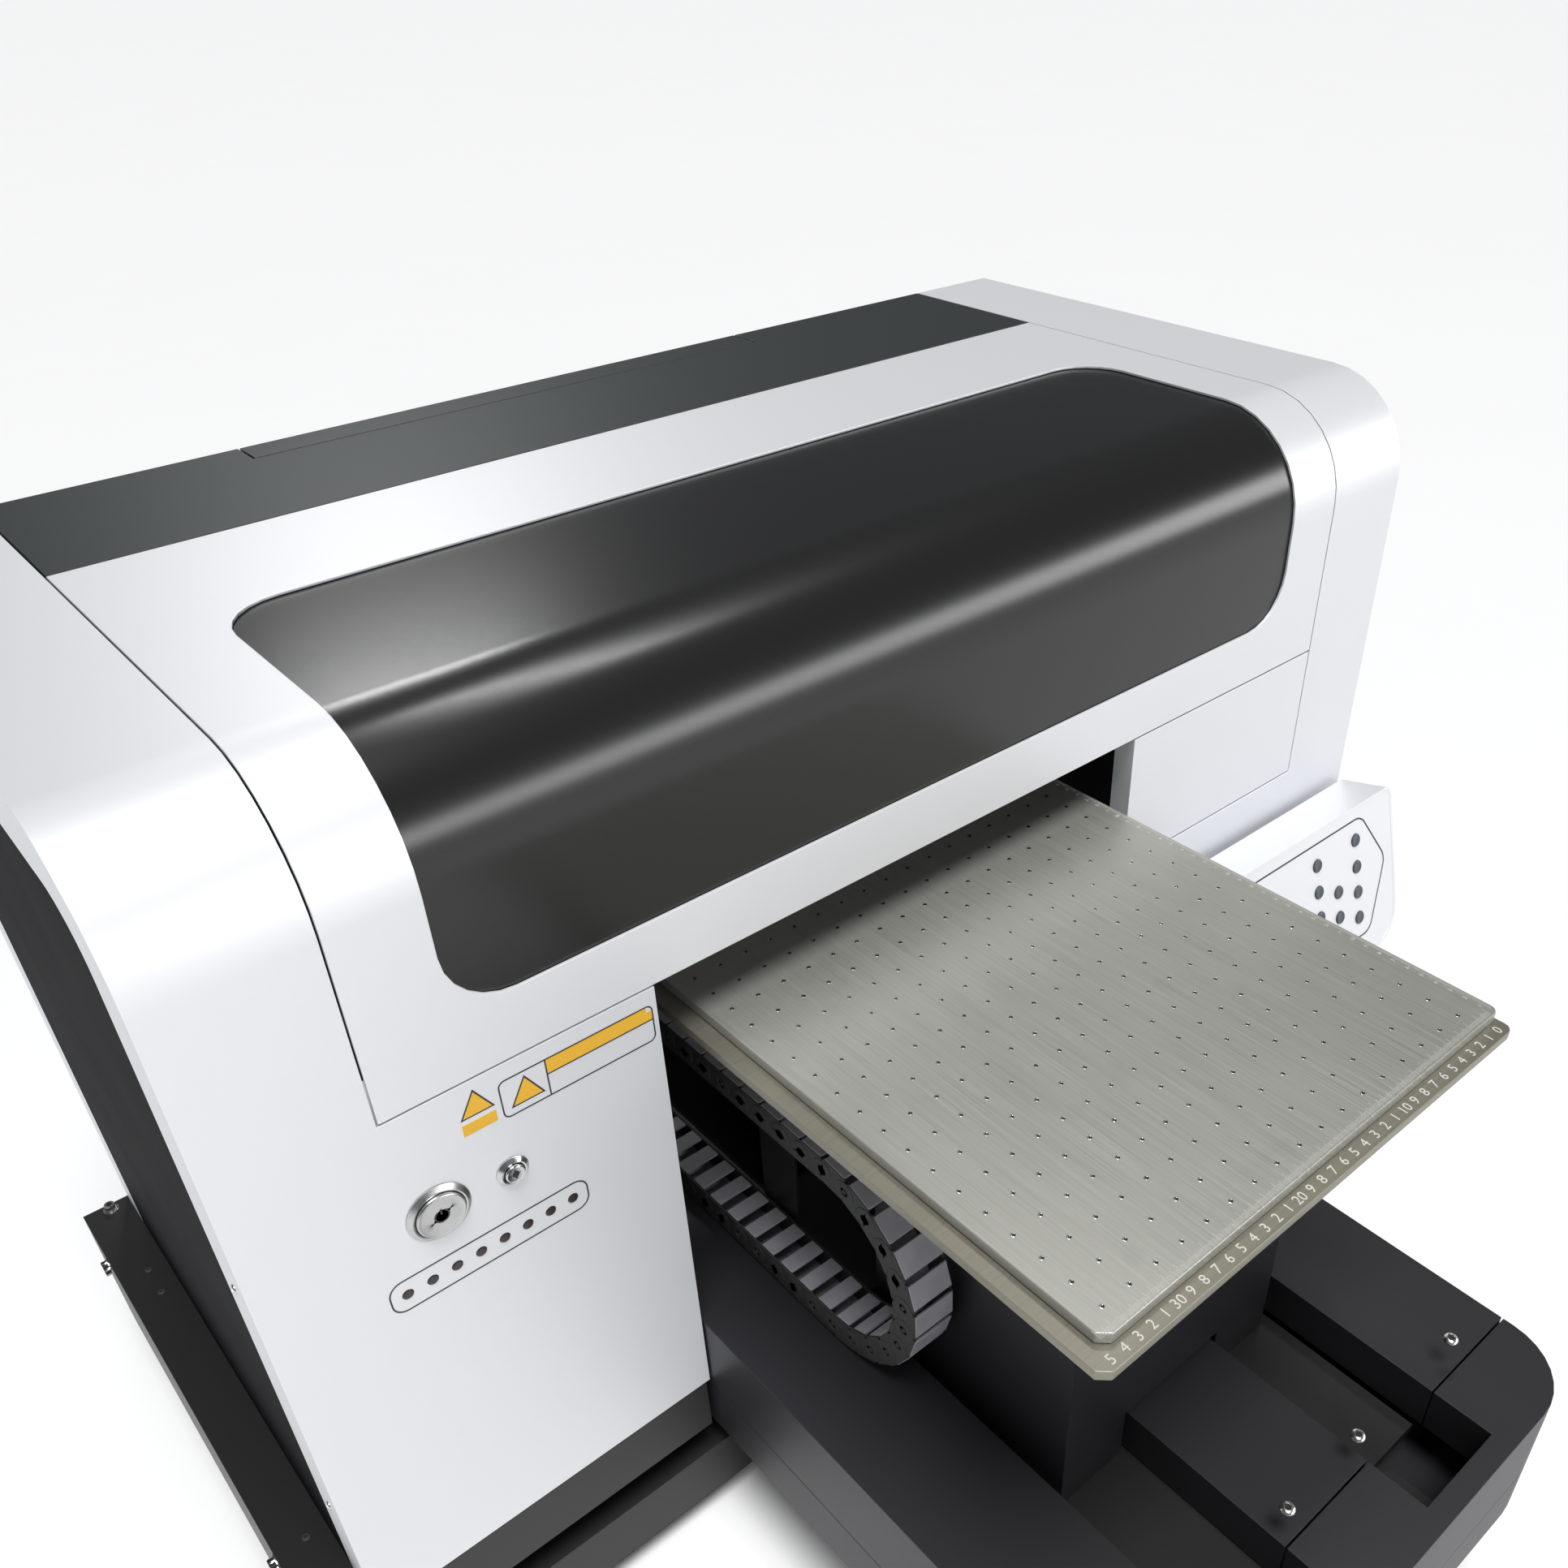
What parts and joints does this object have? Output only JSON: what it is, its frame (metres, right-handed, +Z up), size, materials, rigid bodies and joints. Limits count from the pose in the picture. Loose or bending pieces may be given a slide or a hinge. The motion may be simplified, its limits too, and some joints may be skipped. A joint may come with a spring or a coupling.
{
  "type": "flatbed uv printer",
  "caption": "Flatbed UV printer: white bent-sheet housing with a smoked hood, and a ruled metal bed on a pedestal that rides along a slotted tongue, beside a drag chain.",
  "frame": {"origin": "on the floor, under the middle of the machine's bounding box", "axes": "+X to the machine's right as seen from the front, +Y to its back, +Z up"},
  "size_m": [1.056, 0.9016, 0.7188],
  "materials": {
    "white_paint": "gloss powder coat, cool white",
    "black_paint": "satin black powder coat",
    "deck_paint": "matte blue-black powder coat",
    "strip_paint": "satin dark green-black",
    "smoked_acrylic": "polished, near-black smoked acrylic",
    "bed_aluminium": "brushed, warm grey anodised",
    "machine_steel": "machined or plated",
    "carriage_alloy": "machined",
    "bezel_steel": "turned, brushed",
    "black_plastic": "moulded, matte",
    "chain_plastic": "moulded nylon, satin dark grey",
    "key_plastic": "dark blue-grey domes",
    "lens_plastic": "dark red-tinted clear plastic",
    "belt_rubber": "matte toothed belt",
    "ink_plastic": "milky polyethylene"
  },
  "bodies": {
    "base": {"left_tower_shell": "white_paint", "right_tower_shell": "white_paint", "rear_panel": "white_paint", "control_box": "white_paint", "side_frame_left": "black_paint", "side_frame_right": "black_paint", "lower_rail_front": "black_paint", "lower_rail_rear": "black_paint", "base_tray": "black_paint", "side_panel_left": "black_paint", "side_panel_right": "black_paint", "tunnel_wall_left": "black_paint", "tunnel_wall_right": "black_paint", "tongue_base": "deck_paint", "deck_cover": "deck_paint", "tongue_cap": "deck_paint", "slot_center_cover": "deck_paint", "top_strip": "strip_paint", "gantry_frame": "machine_steel", "x_rail": "machine_steel", "y_rail_left": "machine_steel", "y_rail_right": "machine_steel", "electronics_box": "machine_steel", "power_bezel": "bezel_steel", "small_bezel": "bezel_steel", "x_motor": "black_plastic", "y_motor": "black_plastic", "capping_station": "black_plastic", "power_inlet": "black_plastic", "led_lens_bar": "lens_plastic", "x_belt": "belt_rubber", "ink_tank": "ink_plastic"},
    "hood": {"hood_shell": "white_paint", "hood_window": "smoked_acrylic"},
    "rear_flap": {"rear_door": "strip_paint"},
    "side_door": {"right_door": "white_paint"},
    "head": {"print_carriage": "black_plastic", "print_head": "machine_steel", "uv_lamp": "black_plastic"},
    "drive_pulley": {"x_drive_pulley": "machine_steel"},
    "idler_pulley": {"x_idler_pulley": "machine_steel"},
    "carriage": {"y_carriage": "carriage_alloy", "lift_motor": "black_plastic"},
    "bed_screw": {"y_screw": "machine_steel"},
    "table": {"pedestal": "deck_paint", "bed_base_plate": "bed_aluminium", "bed_top_plate": "bed_aluminium"},
    "lift_spindle": {"lift_screw": "machine_steel"},
    "chain": {"chain_loop": "chain_plastic"},
    "power_push": {"power_button": "bezel_steel"},
    "small_push": {"small_button": "bezel_steel"},
    "key_push_1": {"key_1": "key_plastic"},
    "key_push_2": {"key_2": "key_plastic"},
    "key_push_3": {"key_3": "key_plastic"},
    "key_push_4": {"key_4": "key_plastic"},
    "key_push_5": {"key_5": "key_plastic"},
    "key_push_6": {"key_6": "key_plastic"},
    "key_push_7": {"key_7": "key_plastic"},
    "key_push_8": {"key_8": "key_plastic"},
    "key_push_9": {"key_9": "key_plastic"}
  },
  "joints": [
    {"name": "hood_hinge", "type": "hinge", "parent": "base", "child": "hood", "pos_m": [0, 0.3066, 0.7188], "axis": [-1, 0, 0], "range_deg": [0, 70]},
    {"name": "rear_door_hinge", "type": "hinge", "parent": "base", "child": "rear_flap", "pos_m": [0, 0.4508, 0.56], "axis": [-1, 0, 0], "range_deg": [0, 90]},
    {"name": "right_door_hinge", "type": "hinge", "parent": "base", "child": "side_door", "pos_m": [0.4014, -0.0207, 0.467], "axis": [0, 0, 1], "range_deg": [0, 110]},
    {"name": "x_slide", "type": "slide", "parent": "base", "child": "head", "axis": [1, 0, 0], "range_m": [-0.62, 0]},
    {"name": "drive_pulley_spin", "type": "hinge", "parent": "base", "child": "drive_pulley", "pos_m": [0.4315, 0.262, 0.627], "axis": [0, 0, 1], "continuous": true},
    {"name": "idler_pulley_spin", "type": "hinge", "parent": "base", "child": "idler_pulley", "pos_m": [-0.4315, 0.262, 0.627], "axis": [0, 0, 1], "continuous": true},
    {"name": "y_slide", "type": "slide", "parent": "base", "child": "carriage", "axis": [0, 1, 0], "range_m": [-0.04, 0.4]},
    {"name": "y_screw_spin", "type": "hinge", "parent": "base", "child": "bed_screw", "pos_m": [-0.0231, 0, 0.164], "axis": [0, 1, 0], "continuous": true},
    {"name": "z_lift", "type": "slide", "parent": "carriage", "child": "table", "axis": [0, 0, 1], "range_m": [0, 0.04]},
    {"name": "lift_screw_spin", "type": "hinge", "parent": "carriage", "child": "lift_spindle", "pos_m": [-0.0231, -0.1786, 0.3], "axis": [0, 0, 1], "continuous": true},
    {"name": "chain_slide", "type": "slide", "parent": "base", "child": "chain", "axis": [0, 1, 0], "range_m": [-0.02, 0.2]},
    {"name": "power_press", "type": "slide", "parent": "base", "child": "power_push", "axis": [0, 1, 0], "range_m": [0, 0.0015], "stiffness_N_per_m": 400},
    {"name": "small_press", "type": "slide", "parent": "base", "child": "small_push", "axis": [0, 1, 0], "range_m": [0, 0.0015], "stiffness_N_per_m": 300},
    {"name": "key_1_press", "type": "slide", "parent": "base", "child": "key_push_1", "axis": [0, 0.9659, -0.2588], "range_m": [0, 0.0012], "stiffness_N_per_m": 200},
    {"name": "key_2_press", "type": "slide", "parent": "base", "child": "key_push_2", "axis": [0, 0.9659, -0.2588], "range_m": [0, 0.0012], "stiffness_N_per_m": 200},
    {"name": "key_3_press", "type": "slide", "parent": "base", "child": "key_push_3", "axis": [0, 0.9659, -0.2588], "range_m": [0, 0.0012], "stiffness_N_per_m": 200},
    {"name": "key_4_press", "type": "slide", "parent": "base", "child": "key_push_4", "axis": [0, 0.9659, -0.2588], "range_m": [0, 0.0012], "stiffness_N_per_m": 200},
    {"name": "key_5_press", "type": "slide", "parent": "base", "child": "key_push_5", "axis": [0, 0.9659, -0.2588], "range_m": [0, 0.0012], "stiffness_N_per_m": 200},
    {"name": "key_6_press", "type": "slide", "parent": "base", "child": "key_push_6", "axis": [0, 0.9659, -0.2588], "range_m": [0, 0.0012], "stiffness_N_per_m": 200},
    {"name": "key_7_press", "type": "slide", "parent": "base", "child": "key_push_7", "axis": [0, 0.9659, -0.2588], "range_m": [0, 0.0012], "stiffness_N_per_m": 200},
    {"name": "key_8_press", "type": "slide", "parent": "base", "child": "key_push_8", "axis": [0, 0.9659, -0.2588], "range_m": [0, 0.0012], "stiffness_N_per_m": 200},
    {"name": "key_9_press", "type": "slide", "parent": "base", "child": "key_push_9", "axis": [0, 0.9659, -0.2588], "range_m": [0, 0.0012], "stiffness_N_per_m": 200}
  ],
  "couplings": [
    {"joint": "drive_pulley_spin", "follows": "x_slide", "rad_per_m": 76.628},
    {"joint": "idler_pulley_spin", "follows": "x_slide", "rad_per_m": 76.628},
    {"joint": "y_screw_spin", "follows": "y_slide", "rad_per_m": 314.16},
    {"joint": "chain_slide", "follows": "y_slide", "ratio": 0.5},
    {"joint": "lift_screw_spin", "follows": "z_lift", "rad_per_m": 1256.6}
  ]
}
